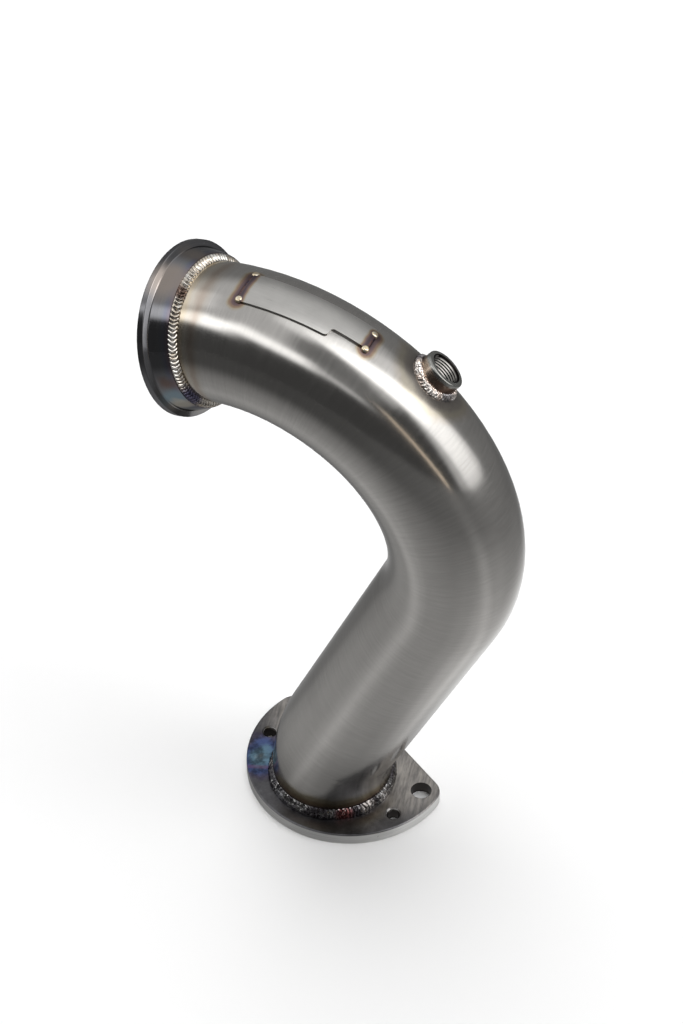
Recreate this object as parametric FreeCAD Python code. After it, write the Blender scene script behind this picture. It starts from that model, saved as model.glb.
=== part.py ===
import FreeCAD, Part
import math
import os
from FreeCAD import Placement, Rotation, Vector

# A welded stainless steel downpipe: one mandrel-bent tube with a V-band flange on its
# inlet, a two-bolt flange on its outlet, a sensor boss and a bare plate on the outside
# of its upper bend. Millimetres. The origin is the centre of the outlet bore on the
# outlet flange's sealing face, +Z runs up the tube, and +X is the flange's mirror axis.

# Tube
tube_od = 76.2
tube_wall = 1.5
bend_radius = 114.3  # to the centreline, the same die for both bends
outlet_straight = 7.9  # from the outlet seat to the lower bend
lower_bend_angle = 24.1
lower_bend_heading = -89.3  # the way the lower bend leans, about +Z from +X
middle_straight = 178.8
upper_bend_angle = 129.0
upper_bend_twist = -166.0  # of the upper bend's plane from the lower bend's
inlet_straight = 6.9  # from the upper bend to the inlet seat

# Outlet flange
outlet_thickness = 8.0
outlet_lip = 2.0  # the tube's end rests on this lip
outlet_back_centre = 16.4  # X of the centre of the large back arc
outlet_front_wall = 10.6  # from the tube out to the arc about the bore
lug_hole_x = 24.4
lug_hole_spacing = 107.0
lug_hole_dia = 13.0
lug_wall = 5.4  # metal round a lug hole
tapped_x = -1.6
tapped_edge = 11.1  # across, from a tapped hole's centre to the back arc
tapped_dia = 6.8  # M8 before its thread
tapped_sink_dia = 10.0
outlet_edge_round = 1.2

# V-band flange: radial reaches from the tube's outside, lengths from its open face
rim_reach = 10.3
rim_land = 3.9
rim_back_angle = 20.0
hub_root_reach = 7.0
hub_end_reach = 4.1
inlet_length = 15.8
socket_depth = 7.8
register_reach = 4.4  # shallow recess that the turbine housing's spigot enters
register_depth = 2.0
register_chamfer = 0.6
rim_edge_break = 0.5
hub_root_round = 0.8

socket_gap = 0.1  # radial, between the tube and each flange

# Weld beads: the leg along the tube, the leg along the flange and the crown's rise
inlet_bead_along = 3.2
inlet_bead_across = 3.8
outlet_bead_along = 7.0
outlet_bead_across = 3.0
bead_crown = 0.55
bead_root = 0.8  # how far a bead's profile starts under the tube's skin
bead_tuck = 0.3  # how far its upper edge runs under the skin

# Sensor boss, M18 x 1.5, placed by its angles along and round the upper bend
boss_from_plate_angle = 28.8
boss_round_angle = -24.9
boss_od = 24.0
boss_height = 8.0
boss_bore = 16.38
boss_bore_mouth = 18.6
boss_edge_break = 1.1
boss_tube_hole = 18.0
boss_bead_leg = 2.9

# Bare plate on the outside of the upper bend
plate_from_inlet_angle = 27.0
plate_round_angle = -2.1
plate_skew_angle = 2.3
plate_length = 72.6
plate_width = 21.6
plate_step_length = 20.6
plate_step = 5.4
plate_thickness = 1.4
plate_corner = 2.4
tack_radius = 2.3
tack_height = 1.8
tack_inset = 1.5  # along the end, from the corner
tack_outlet_inset = 4.5
end_bead_leg = 1.2
weld_rounding = 0.85  # of a weld's height, over the rounded edge of its crown
end_bead_rounding = 0.7

tube_radius = tube_od / 2
bore_radius = tube_radius - tube_wall
socket_radius = tube_radius + socket_gap
outlet_front_radius = tube_radius + outlet_front_wall
rim_radius = tube_radius + rim_reach
hub_root_radius = tube_radius + hub_root_reach
hub_end_radius = tube_radius + hub_end_reach
register_radius = tube_radius + register_reach
inlet_seat = inlet_length - socket_depth  # from the open face to the tube's end
plate_along = upper_bend_angle - plate_from_inlet_angle

tiny = 0.01  # for picking edges by place

axis_x = Vector(1, 0, 0)
axis_y = Vector(0, 1, 0)
axis_z = Vector(0, 0, 1)


def moved(shape, place):
    copy = shape.copy()
    copy.Placement = place.multiply(copy.Placement)
    return copy


def shift(x, y, z):
    return Placement(Vector(x, y, z), Rotation())


def turn(axis, angle):
    return Placement(Vector(), Rotation(axis, angle))


def straight_on(place, length):
    return place.multiply(shift(0, 0, length))


def bent_on(place, angle):
    # The bend's centre is at +X of the local frame, which looks along +Z.
    arm = shift(bend_radius, 0, 0)
    return place.multiply(arm).multiply(turn(axis_y, angle)).multiply(arm.inverse())


# Local frames along the centreline, each looking along the tube towards the inlet
seat_start = shift(0, 0, outlet_lip).multiply(turn(axis_z, lower_bend_heading))
lower_bend_start = straight_on(seat_start, outlet_straight)
middle_start = bent_on(lower_bend_start, lower_bend_angle)
upper_bend_start = straight_on(middle_start, middle_straight).multiply(turn(axis_z, upper_bend_twist))
inlet_start = bent_on(upper_bend_start, upper_bend_angle)
seat_end = straight_on(inlet_start, inlet_straight)
# The open face of the V-band flange, looking back along the tube
open_face = straight_on(seat_end, inlet_seat).multiply(turn(axis_x, 180))


def on_upper_bend(along, round_angle):
    # Origin on the centreline, +Z out through the wall, +X back towards the outlet.
    place = bent_on(upper_bend_start, along)
    return place.multiply(turn(axis_z, 180 - round_angle)).multiply(turn(axis_y, 90))


def disc(outer, inner=0.0):
    face = Part.Face(Part.Wire(Part.makeCircle(outer)))
    if inner:
        face = face.cut(Part.Face(Part.Wire(Part.makeCircle(inner))))
    return face


def straight_span(outer, inner, length, place):
    return moved(disc(outer, inner).extrude(Vector(0, 0, length)), place)


def bend_span(outer, inner, angle, place):
    return moved(disc(outer, inner).revolve(Vector(bend_radius, 0, 0), axis_y, angle), place)


def run_of_tube(outer, inner=0.0):
    spans = [
        straight_span(outer, inner, outlet_straight, seat_start),
        bend_span(outer, inner, lower_bend_angle, lower_bend_start),
        straight_span(outer, inner, middle_straight, middle_start),
        bend_span(outer, inner, upper_bend_angle, upper_bend_start),
        straight_span(outer, inner, inlet_straight, inlet_start),
    ]
    return spans[0].multiFuse(spans[1:])


def one_solid(shape):
    return shape.Solids[0] if len(shape.Solids) == 1 else shape


def turned(points):
    # A closed outline in the XZ plane, turned about the Z axis.
    wire = Part.makePolygon([Vector(r, 0, z) for r, z in points + points[:1]])
    return Part.Face(wire).revolve(Vector(), axis_z, 360)


def bead(seat_z, along, across, root_radius):
    # Profile of a fillet weld: flat on the flange at seat_z, crowned between its legs.
    low = Vector(tube_radius + across, 0, seat_z)
    high = Vector(tube_radius - bead_tuck, 0, seat_z + along)
    slope = (high - low).normalize()
    out = Vector(slope.z, 0, -slope.x)
    middle = (low + high) * 0.5 + out * bead_crown
    foot = Vector(root_radius, 0, seat_z)
    top = Vector(root_radius, 0, seat_z + along)
    edges = [
        Part.makeLine(foot, low),
        Part.Arc(low, middle, high).toShape(),
        Part.makeLine(high, top),
        Part.makeLine(top, foot),
    ]
    return Part.Face(Part.Wire(edges)).revolve(Vector(), axis_z, 360)


def boss_frame():
    return on_upper_bend(plate_along - boss_from_plate_angle, boss_round_angle)


def bent_tube():
    tube = run_of_tube(tube_radius, bore_radius)
    hole = Part.makeCylinder(boss_tube_hole / 2, tube_radius + boss_height)
    return one_solid(tube.cut(moved(hole, boss_frame())))


def inlet_flange():
    root_z = rim_land + (rim_radius - hub_root_radius) * math.tan(math.radians(rim_back_angle))
    flange = turned([
        (bore_radius, register_depth),
        (register_radius, register_depth),
        (register_radius, register_chamfer),
        (register_radius + register_chamfer, 0),
        (rim_radius - rim_edge_break, 0),
        (rim_radius, rim_edge_break),
        (rim_radius, rim_land),
        (hub_root_radius, root_z),
        (hub_end_radius, inlet_length),
        (socket_radius, inlet_length),
        (socket_radius, inlet_seat),
        (bore_radius, inlet_seat),
    ])
    flange = round_circle(flange, hub_root_radius, root_z, hub_root_round)
    flange = round_circle(flange, rim_radius, rim_land, rim_edge_break)
    return one_solid(moved(flange, open_face))


def round_circle(solid, radius, height, size):
    # Rounds the circular edge of that radius about Z at that height.
    picked = [
        edge for edge in solid.Edges
        if isinstance(edge.Curve, Part.Circle)
        and abs(edge.Curve.Radius - radius) < tiny
        and abs(edge.Curve.Center.z - height) < tiny
    ]
    return solid.makeFillet(size, picked)


def inlet_weld():
    ring = bead(inlet_length, inlet_bead_along, inlet_bead_across, tube_radius - bead_root)
    ring = moved(ring, open_face)
    return one_solid(ring.cut(run_of_tube(tube_radius)))


def outlet_outline():
    # Half the outline by tangent arcs: back arc, lug arc, straight flank, front arc.
    lug = Vector(lug_hole_x, lug_hole_spacing / 2, 0)
    lug_radius = lug_hole_dia / 2 + lug_wall
    back_centre = Vector(outlet_back_centre, 0, 0)
    to_lug = (lug - back_centre).normalize()
    back_radius = (lug - back_centre).Length + lug_radius
    back_end = back_centre + to_lug * back_radius
    flank_turn = math.acos((outlet_front_radius - lug_radius) / lug.Length)
    flank_angle = math.atan2(lug.y, lug.x) - flank_turn
    flank_out = Vector(math.cos(flank_angle), math.sin(flank_angle), 0)
    flank_top = lug + flank_out * lug_radius
    flank_foot = flank_out * outlet_front_radius
    lug_out = (to_lug + flank_out).normalize()
    flip = lambda v: Vector(v.x, -v.y, 0)
    back_point = back_centre - axis_x * back_radius
    front_point = axis_x * outlet_front_radius
    return Part.Wire([
        Part.Arc(flip(back_end), back_point, back_end).toShape(),
        Part.Arc(back_end, lug + lug_out * lug_radius, flank_top).toShape(),
        Part.makeLine(flank_top, flank_foot),
        Part.Arc(flank_foot, front_point, flip(flank_foot)).toShape(),
        Part.makeLine(flip(flank_foot), flip(flank_top)),
        Part.Arc(flip(flank_top), flip(lug + lug_out * lug_radius), flip(back_end)).toShape(),
    ])


def outlet_flange():
    plate = Part.Face(outlet_outline()).extrude(Vector(0, 0, outlet_thickness))
    back_radius = math.hypot(lug_hole_x - outlet_back_centre, lug_hole_spacing / 2)
    back_radius += lug_hole_dia / 2 + lug_wall
    tapped_y = math.sqrt(back_radius ** 2 - (tapped_x - outlet_back_centre) ** 2) - tapped_edge
    top_edges = [e for e in plate.Edges if e.BoundBox.ZMin > outlet_thickness - tiny]
    plate = plate.makeFillet(outlet_edge_round, top_edges)
    cuts = [
        Part.makeCylinder(bore_radius, outlet_thickness),
        Part.makeCylinder(socket_radius, outlet_thickness, Vector(0, 0, outlet_lip)),
    ]
    sink = (tapped_sink_dia - tapped_dia) / 2
    for side in (-1, 1):
        lug = Vector(lug_hole_x, side * lug_hole_spacing / 2, 0)
        tapped = Vector(tapped_x, side * tapped_y, 0)
        cuts.append(Part.makeCylinder(lug_hole_dia / 2, outlet_thickness, lug))
        cuts.append(Part.makeCylinder(tapped_dia / 2, outlet_thickness, tapped))
        mouth = tapped + Vector(0, 0, outlet_thickness - sink)
        cuts.append(Part.makeCone(tapped_dia / 2, tapped_sink_dia / 2, sink, mouth))
    return one_solid(plate.cut(cuts))


def outlet_weld():
    ring = bead(outlet_thickness, outlet_bead_along, outlet_bead_across, tube_radius - bead_root)
    return one_solid(ring.cut(run_of_tube(tube_radius)))


def sensor_boss():
    top = tube_radius + boss_height
    mouth = (boss_bore_mouth - boss_bore) / 2
    outer = boss_od / 2
    bore = boss_bore / 2
    blank = turned([
        (bore, tube_radius - tube_wall),
        (outer, tube_radius - tube_wall),
        (outer, top - boss_edge_break),
        (outer - boss_edge_break, top),
        (bore + mouth, top),
        (bore, top - mouth),
    ])
    return one_solid(moved(blank, boss_frame()).cut(upper_bend_skin()))


def upper_bend_skin(thickness=0.0):
    # The upper bend's outside as a solid rod, or a skin of that thickness over it.
    inner = tube_radius if thickness else 0.0
    return bend_span(tube_radius + thickness, inner, upper_bend_angle, upper_bend_start)


def off_centreline(point):
    # How far a point is from the upper bend's centreline.
    local = upper_bend_start.inverse().multVec(point)
    return math.hypot(math.hypot(local.x - bend_radius, local.z) - bend_radius, local.y)


def skin_weld(outline, height, rounding=weld_rounding, keep_sharp=None):
    # A skin over the upper bend, kept to an upright outline, its outer edge rounded.
    weld = upper_bend_skin(height).common(outline)
    crest = [
        edge for edge in weld.Edges
        if all(abs(off_centreline(p) - tube_radius - height) < tiny for p in edge.discretize(5))
        and not (keep_sharp and all(keep_sharp(p) for p in edge.discretize(5)))
    ]
    return weld.makeFillet(rounding * height, crest)


def column(radius, place):
    # An upright cylinder from inside the tube, high enough to pass any fitting.
    return moved(Part.makeCylinder(radius, 2 * tube_radius), place)


def boss_weld():
    ring = skin_weld(column(boss_od / 2 + boss_bead_leg, boss_frame()), boss_bead_leg)
    return one_solid(ring.cut(column(boss_od / 2, boss_frame())))


def plate_frame():
    # +X back towards the outlet, +Z out through the wall
    return on_upper_bend(plate_along, plate_round_angle).multiply(turn(axis_z, plate_skew_angle))


def plate_outline():
    half_length = plate_length / 2
    half_width = plate_width / 2
    step_x = half_length - plate_step_length
    corners = [
        (-half_length, -half_width),
        (step_x, -half_width),
        (step_x, plate_step - half_width),
        (half_length, plate_step - half_width),
        (half_length, half_width),
        (-half_length, half_width),
    ]
    return Part.makePolygon([Vector(x, y, 0) for x, y in corners + corners[:1]])


def face_plate():
    # Cut from a skin that follows the bend, by an outline seen square on.
    blank = Part.Face(plate_outline()).extrude(Vector(0, 0, 2 * tube_radius))
    upright = [e for e in blank.Edges if abs(e.tangentAt(e.FirstParameter).z) > 0.999]
    blank = blank.makeFillet(plate_corner, upright)
    return one_solid(upper_bend_skin(plate_thickness).common(moved(blank, plate_frame())))


def on_plate(x, y):
    # The place on the tube's skin under a point of the plate's outline.
    point = turn(axis_z, plate_skew_angle).multVec(Vector(x, y, 0))
    along = plate_along - math.degrees(point.x / (bend_radius + tube_radius))
    return on_upper_bend(along, plate_round_angle - math.degrees(point.y / tube_radius))


def plate_tack(x, y, plate):
    dome = skin_weld(column(tack_radius, on_plate(x, y)), tack_height)
    return one_solid(dome.cut(plate))


def plate_end_bead(x, low_y, high_y, tacks):
    # A fillet along one end of the plate, from inside one tack to inside the other.
    low_y += tack_radius / 2
    high_y -= tack_radius / 2
    outer_x = x + math.copysign(end_bead_leg, x)
    place = plate_frame()
    corners = [(x, low_y), (outer_x, low_y), (outer_x, high_y), (x, high_y), (x, low_y)]
    strip = Part.Face(Part.makePolygon([Vector(a, b, 0) for a, b in corners]))
    strip = moved(strip.extrude(Vector(0, 0, 2 * tube_radius)), place)
    on_end = lambda point: abs(place.inverse().multVec(point).x - outer_x) > tiny
    bead_strip = skin_weld(strip, end_bead_leg, end_bead_rounding, on_end)
    return one_solid(bead_strip.cut(tacks))


def plate_pieces():
    # The plate, its four tacks and the bead between the tacks at each end.
    plate = face_plate()
    end = plate_length / 2
    edge = plate_width / 2
    inlet_low = tack_inset - edge
    outlet_low = plate_step - edge
    outlet_high = edge - tack_outlet_inset
    tack_1 = plate_tack(-end, inlet_low, plate)
    tack_2 = plate_tack(-end, edge, plate)
    tack_3 = plate_tack(end, outlet_low, plate)
    tack_4 = plate_tack(end, outlet_high, plate)
    return {
        "face_plate": plate,
        "plate_tack_1": tack_1,
        "plate_tack_2": tack_2,
        "plate_tack_3": tack_3,
        "plate_tack_4": tack_4,
        "plate_inlet_bead": plate_end_bead(-end, inlet_low, edge, [tack_1, tack_2]),
        "plate_outlet_bead": plate_end_bead(end, outlet_low, outlet_high, [tack_3, tack_4]),
    }


sub_parts = {
    "bent_tube": bent_tube(),
    "inlet_flange": inlet_flange(),
    "inlet_weld": inlet_weld(),
    "outlet_flange": outlet_flange(),
    "outlet_weld": outlet_weld(),
    "sensor_boss": sensor_boss(),
    "boss_weld": boss_weld(),
}
sub_parts.update(plate_pieces())

os.makedirs("parts", exist_ok=True)
for node, shape in sub_parts.items():
    print(node, shape.isValid(), len(shape.Solids), round(shape.Volume / 1000, 3), "cm3")
    shape.exportStep("parts/%s.step" % node)
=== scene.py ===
import math
from functools import partialmethod
from itertools import zip_longest

import bmesh
import bpy
from mathutils import Euler, Matrix, Vector


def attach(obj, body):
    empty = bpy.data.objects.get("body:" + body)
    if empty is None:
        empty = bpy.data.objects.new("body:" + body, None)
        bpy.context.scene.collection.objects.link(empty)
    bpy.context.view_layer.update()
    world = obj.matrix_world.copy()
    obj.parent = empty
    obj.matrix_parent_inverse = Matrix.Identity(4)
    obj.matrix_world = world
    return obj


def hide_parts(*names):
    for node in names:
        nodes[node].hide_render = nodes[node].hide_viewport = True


# Dresses the packed downpipe: satin tube, polished V-band flange, rippled welds,
# threaded sensor boss and heat tints. Metres, in the part's own frame.

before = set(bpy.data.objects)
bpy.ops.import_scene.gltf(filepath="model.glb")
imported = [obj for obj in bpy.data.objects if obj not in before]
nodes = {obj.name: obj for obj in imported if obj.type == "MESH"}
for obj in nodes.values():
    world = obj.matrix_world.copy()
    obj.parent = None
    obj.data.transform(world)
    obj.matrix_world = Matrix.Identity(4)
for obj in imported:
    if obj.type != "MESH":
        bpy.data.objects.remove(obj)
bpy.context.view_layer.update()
scene = bpy.context.scene
mm = 0.001
print("frame loaded:", len(nodes), "nodes")

# the tube's own path, as it was built
tubeRadius = 38.1 * mm
bendRadius = 114.3 * mm
tubePath = {
    "outletLip": 2.0 * mm,
    "outletStraight": 7.9 * mm,
    "lowerBend": 24.1,
    "lowerHeading": -89.3,
    "middleStraight": 178.8 * mm,
    "upperBend": 129.0,
    "upperTwist": -166.0,
    "inletStraight": 6.9 * mm,
    "inletSeat": 8.0 * mm,
}


def moveBy(x, y, z):
    return Matrix.Translation((x, y, z))


def turnBy(degrees, axis):
    return Matrix.Rotation(math.radians(degrees), 4, axis)


def bentOn(place, degrees):
    arm = moveBy(bendRadius, 0, 0)
    return place @ arm @ turnBy(degrees, "Y") @ arm.inverted()


lowerBendStart = (moveBy(0, 0, tubePath["outletLip"] + tubePath["outletStraight"])
                  @ turnBy(tubePath["lowerHeading"], "Z"))
middleStart = bentOn(lowerBendStart, tubePath["lowerBend"])
upperBendStart = middleStart @ moveBy(0, 0, tubePath["middleStraight"]) @ turnBy(tubePath["upperTwist"], "Z")
inletStart = bentOn(upperBendStart, tubePath["upperBend"])
inletReach = tubePath["inletStraight"] + tubePath["inletSeat"]
openFace = inletStart @ moveBy(0, 0, inletReach) @ turnBy(180, "X")
upperBendLength = math.radians(tubePath["upperBend"]) * bendRadius


def onUpperBend(along, aroundAngle):
    # origin on the centreline, +Z out through the wall, +X back towards the outlet
    return bentOn(upperBendStart, along) @ turnBy(180 - aroundAngle, "Z") @ turnBy(90, "Y")


def leaning(radial, degrees):
    # a radial direction tipped towards +Z
    return radial * math.cos(math.radians(degrees)) + Vector((0, 0, math.sin(math.radians(degrees))))


treeColumns, treeSpacing = 14, (170, -220)


class NodeBuilder:
    # short ways to add and join nodes in a shader or geometry tree
    def __init__(self, tree):
        self.tree = tree
        self.count = 0

    def add(self, kind, inputs=(), **settings):
        node = self.tree.nodes.new(kind)
        row, column = divmod(self.count, treeColumns)
        node.location = (treeSpacing[0] * column, treeSpacing[1] * row)
        self.count += 1
        for name, value in settings.items():
            setattr(node, name, value)
        for name, value in dict(inputs).items():
            self.feed(node.inputs[name], value)
        return node

    def feed(self, socket, value):
        if isinstance(value, bpy.types.NodeSocket):
            self.tree.links.new(value, socket)
        else:
            socket.default_value = value

    def math(self, operation, *values):
        return self.add("ShaderNodeMath", enumerate(values), operation=operation).outputs[0]

    plus = partialmethod(math, "ADD")
    minus = partialmethod(math, "SUBTRACT")
    times = partialmethod(math, "MULTIPLY")
    timesPlus = partialmethod(math, "MULTIPLY_ADD")
    over = partialmethod(math, "DIVIDE")
    larger = partialmethod(math, "MAXIMUM")
    absolute = partialmethod(math, "ABSOLUTE")
    lessThan = partialmethod(math, "LESS_THAN")
    angle = partialmethod(math, "ARCTAN2")
    degrees = partialmethod(math, "DEGREES")
    sine = partialmethod(math, "SINE")

    def vector(self, operation, *values):
        node = self.add("ShaderNodeVectorMath", enumerate(values), operation=operation)
        return node.outputs["Value" if operation in ("LENGTH", "DISTANCE") else "Vector"]

    def combine(self, x, y, z):
        return self.add("ShaderNodeCombineXYZ", enumerate((x, y, z))).outputs[0]

    def split(self, vector):
        return self.add("ShaderNodeSeparateXYZ", {0: vector}).outputs

    def length(self, x, y, z=0.0):
        return self.vector("LENGTH", self.combine(x, y, z))

    def noise(self, vector, scale, detail=2.0, roughness=0.5):
        inputs = {"Vector": vector, "Scale": scale, "Detail": detail, "Roughness": roughness}
        return self.add("ShaderNodeTexNoise", inputs).outputs["Fac"]

    def streaks(self, first, second, scales, detail=3.0, roughness=0.6, layer=0.0):
        # noise drawn out along one of two measures
        place = self.combine(self.times(first, scales[0]), self.times(second, scales[1]), layer)
        return self.noise(place, 1.0, detail, roughness)

    def wander(self, noise, reach):
        # noise turned into an offset either way
        return self.timesPlus(noise, reach, -reach / 2)

    def ramp(self, value, stops, interpolation="EASE"):
        node = self.add("ShaderNodeValToRGB", {0: value})
        node.color_ramp.interpolation = interpolation
        elements = node.color_ramp.elements
        while len(elements) < len(stops):
            elements.new(0.5)
        for element, (position, colour) in zip(elements, stops):
            element.position = position
            element.color = (*colour, 1.0) if isinstance(colour, tuple) else (colour, colour, colour, 1.0)
        return node.outputs[0]

    def mix(self, factor, first, second, mode="MIX"):
        pair = [(*colour, 1.0) if isinstance(colour, tuple) else colour for colour in (first, second)]
        inputs = {0: factor, 6: pair[0], 7: pair[1]}
        return self.add("ShaderNodeMix", inputs, data_type="RGBA", blend_type=mode).outputs[2]

    def spread(self, value, low, high, newLow=0.0, newHigh=1.0, kind="SMOOTHSTEP"):
        inputs = enumerate((value, low, high, newLow, newHigh))
        return self.add("ShaderNodeMapRange", inputs, interpolation_type=kind).outputs[0]

    def evenly(self, value, low, high, newLow, newHigh):
        return self.spread(value, low, high, newLow, newHigh, "LINEAR")

    def valueOf(self, factor):
        return self.evenly(factor[0], *factor[1]) if isinstance(factor, tuple) else factor

    def shaded(self, colour, *factors):
        # a colour times brightness factors, each a value or a noise with its shade
        product, *others = [self.valueOf(factor) for factor in factors]
        for factor in others:
            product = self.times(product, factor)
        return self.mix(1.0, colour, self.combine(product, product, product), "MULTIPLY")

    def here(self):
        return self.add("ShaderNodeTexCoord").outputs["Object"]

    def local(self, place):
        # object coordinates seen from a local frame
        inputs = {"Location": place.translation, "Rotation": place.to_euler("XYZ"), "Vector": self.here()}
        return self.add("ShaderNodeMapping", inputs, vector_type="TEXTURE").outputs[0]

    def distanceTo(self, point):
        return self.vector("DISTANCE", self.here(), tuple(point))

    def bump(self, height, strength, distance):
        inputs = {"Height": height, "Strength": strength, "Distance": distance}
        return self.add("ShaderNodeBump", inputs).outputs[0]


def newMaterial(name, shaderKind):
    # a material with one shader, ready to be fed
    material = bpy.data.materials.new(name)
    material.use_nodes = True
    material.node_tree.nodes.clear()
    build = NodeBuilder(material.node_tree)
    shader = build.add(shaderKind)
    build.add("ShaderNodeOutputMaterial", {0: shader.outputs[0]})
    return material, build, shader


def newMetal(name, edgeTint=0.75):
    material, build, shader = newMaterial(name, "ShaderNodeBsdfPrincipled")
    shader.inputs["Metallic"].default_value = 1.0
    shader.inputs["Specular Tint"].default_value = (edgeTint, edgeTint, edgeTint, 1.0)
    return material, build, shader


def finishMetal(build, shader, colour, roughness, height, bump):
    build.feed(shader.inputs["Base Color"], colour)
    build.feed(shader.inputs["Roughness"], build.valueOf(roughness))
    build.feed(shader.inputs["Normal"], build.bump(height, *bump))


def picked(build, chosen, wanted, otherwise):
    return build.timesPlus(build.minus(wanted, otherwise), chosen, otherwise)


def alongTube(build):
    # metres along the upper bend and the straight before it, and metres round from the crown
    x, y, z = build.split(build.local(upperBendStart))
    inner = build.minus(bendRadius, x)
    onBend = build.times(build.angle(z, inner), bendRadius)
    reach = build.length(z, inner)
    straight = build.lessThan(z, 0.0)
    along = picked(build, straight, z, onBend)
    outward = picked(build, straight, build.times(x, -1.0), build.minus(reach, bendRadius))
    around = build.times(build.angle(y, outward), tubeRadius)
    return along, around


# Oxide colours by distance from a weld, as a share of the tinted width. In the looks below, a noise is its
# scale, detail and roughness, a shade is a noise's range and the brightness it spreads over, and a share is
# a measure's range and the mix it gives.
tubeGrey = (0.493, 0.479, 0.459)
heatTints = {
    "boss": [(0.00, (0.150, 0.128, 0.115)), (0.25, (0.240, 0.210, 0.180)), (0.50, (0.400, 0.360, 0.280)),
             (0.72, (0.446, 0.405, 0.351)), (1.00, tubeGrey)],
    "plateEnd": [(0.00, (0.074, 0.047, 0.061)), (0.26, (0.162, 0.101, 0.108)), (0.48, (0.311, 0.209, 0.142)),
                 (0.70, (0.459, 0.392, 0.290)), (1.00, tubeGrey)],
    "inlet": [(0.00, (0.540, 0.432, 0.270)), (0.22, (0.513, 0.459, 0.378)), (0.48, (0.351, 0.270, 0.203)),
              (0.72, (0.446, 0.405, 0.351)), (1.00, tubeGrey)],
    "outlet": [(0.00, (0.068, 0.041, 0.034)), (0.24, (0.162, 0.115, 0.061)), (0.50, (0.297, 0.257, 0.176)),
               (0.75, (0.432, 0.405, 0.351)), (1.00, tubeGrey)],
}
tintStrength = {"boss": 0.75, "plateEnd": 0.9, "inlet": 0.6, "outlet": 0.95}
tintFade = (1.0, 0.55)


def heatTint(build, colour, distance, kind, width, unevenness):
    reach = build.over(build.plus(distance, unevenness), width)
    share = build.spread(reach, *tintFade, 0.0, tintStrength[kind])
    return build.mix(share, colour, build.ramp(reach, heatTints[kind]))


def stained(build, colour, distance, size, stain, core, strength):
    # a soft spot of another colour, full within a share of its size
    return build.mix(build.spread(distance, size, size * core, 0.0, strength), colour, stain)


# tube
tubeLook = {
    "scratches": (1500.0, 1 / (14 * mm)),
    "brushing": (520.0, 26.0),
    "brushingNoise": (2.0, 0.5, 3.0),
    "patches": (22.0, 3.0, 0.55),
    "uneven": (75.0, 3.0, 0.6),
    "unevenness": 9 * mm,
    "scratchShade": (0.25, 0.75, 0.94, 1.06),
    "brushingShade": (0.3, 0.7, 0.97, 1.03),
    "patchShade": (0.3, 0.7, 0.95, 1.04),
    "patchRoughness": (0.3, 0.7, 0.10, 0.14),
    "scratchRoughness": 0.10,
    "bump": (0.12, 0.04 * mm),
    # painted reflection stripes, in degrees round the tube from the crown
    "paintedReflectionLines": (38.0, 101.0),
    "reflectionLineWander": 2.4 * mm,
    "reflectionLineShare": (5.5 * mm, 0.0, 0.0, 0.20),
    "bossTint": 17 * mm,
    "bossWeldEdge": 14 * mm,
    "plateTint": 5.5 * mm,
    "plateUneven": 0.3,
    "inletTint": 13 * mm,
    "inletUneven": 0.5,
    "inletWeldEdge": 11.4 * mm,
    "outletTint": 15 * mm,
    "outletUneven": 0.7,
    "outletWeldTop": 14.6 * mm,
}
bossPlace = {"along": 73.2, "around": -24.9}
platePlace = {"along": 102.0, "around": -2.1, "skew": 2.3, "halfLength": 36.3 * mm, "halfWidth": 10.8 * mm,
              "step": 5.4 * mm, "tintFrom": 1.2 * mm, "tintDepth": 9 * mm,
              "endInsets": (1.0 * mm, 0.5 * mm, 4.5 * mm)}
plateFrame = onUpperBend(platePlace["along"], platePlace["around"]) @ turnBy(platePlace["skew"], "Z")
bossFrame = onUpperBend(bossPlace["along"], bossPlace["around"])


def distanceToEnd(build, place, endX, lowY, highY):
    # to a line across the plate's end at endX, from lowY to highY; deep inside the tube counts as away
    x, y, z = place
    beside = build.larger(build.larger(build.minus(lowY, y), build.minus(y, highY)), 0.0)
    below = build.larger(build.minus(tubeRadius - platePlace["tintDepth"], z), 0.0)
    return build.length(build.minus(x, endX), beside, below)


def plateEndTints(build, colour, width, unevenness):
    # burnt metal along both ends of the plate, where it is welded
    place = build.split(build.local(plateFrame))
    halfLength, halfWidth = platePlace["halfLength"], platePlace["halfWidth"]
    lowInset, highInset, farInset = platePlace["endInsets"]
    ends = ((-halfLength, -halfWidth + lowInset, halfWidth - highInset),
            (halfLength, -halfWidth + platePlace["step"], halfWidth - farInset))
    for endX, lowY, highY in ends:
        away = build.minus(distanceToEnd(build, place, endX, lowY, highY), platePlace["tintFrom"])
        colour = heatTint(build, colour, away, "plateEnd", width, unevenness)
    return colour


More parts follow.
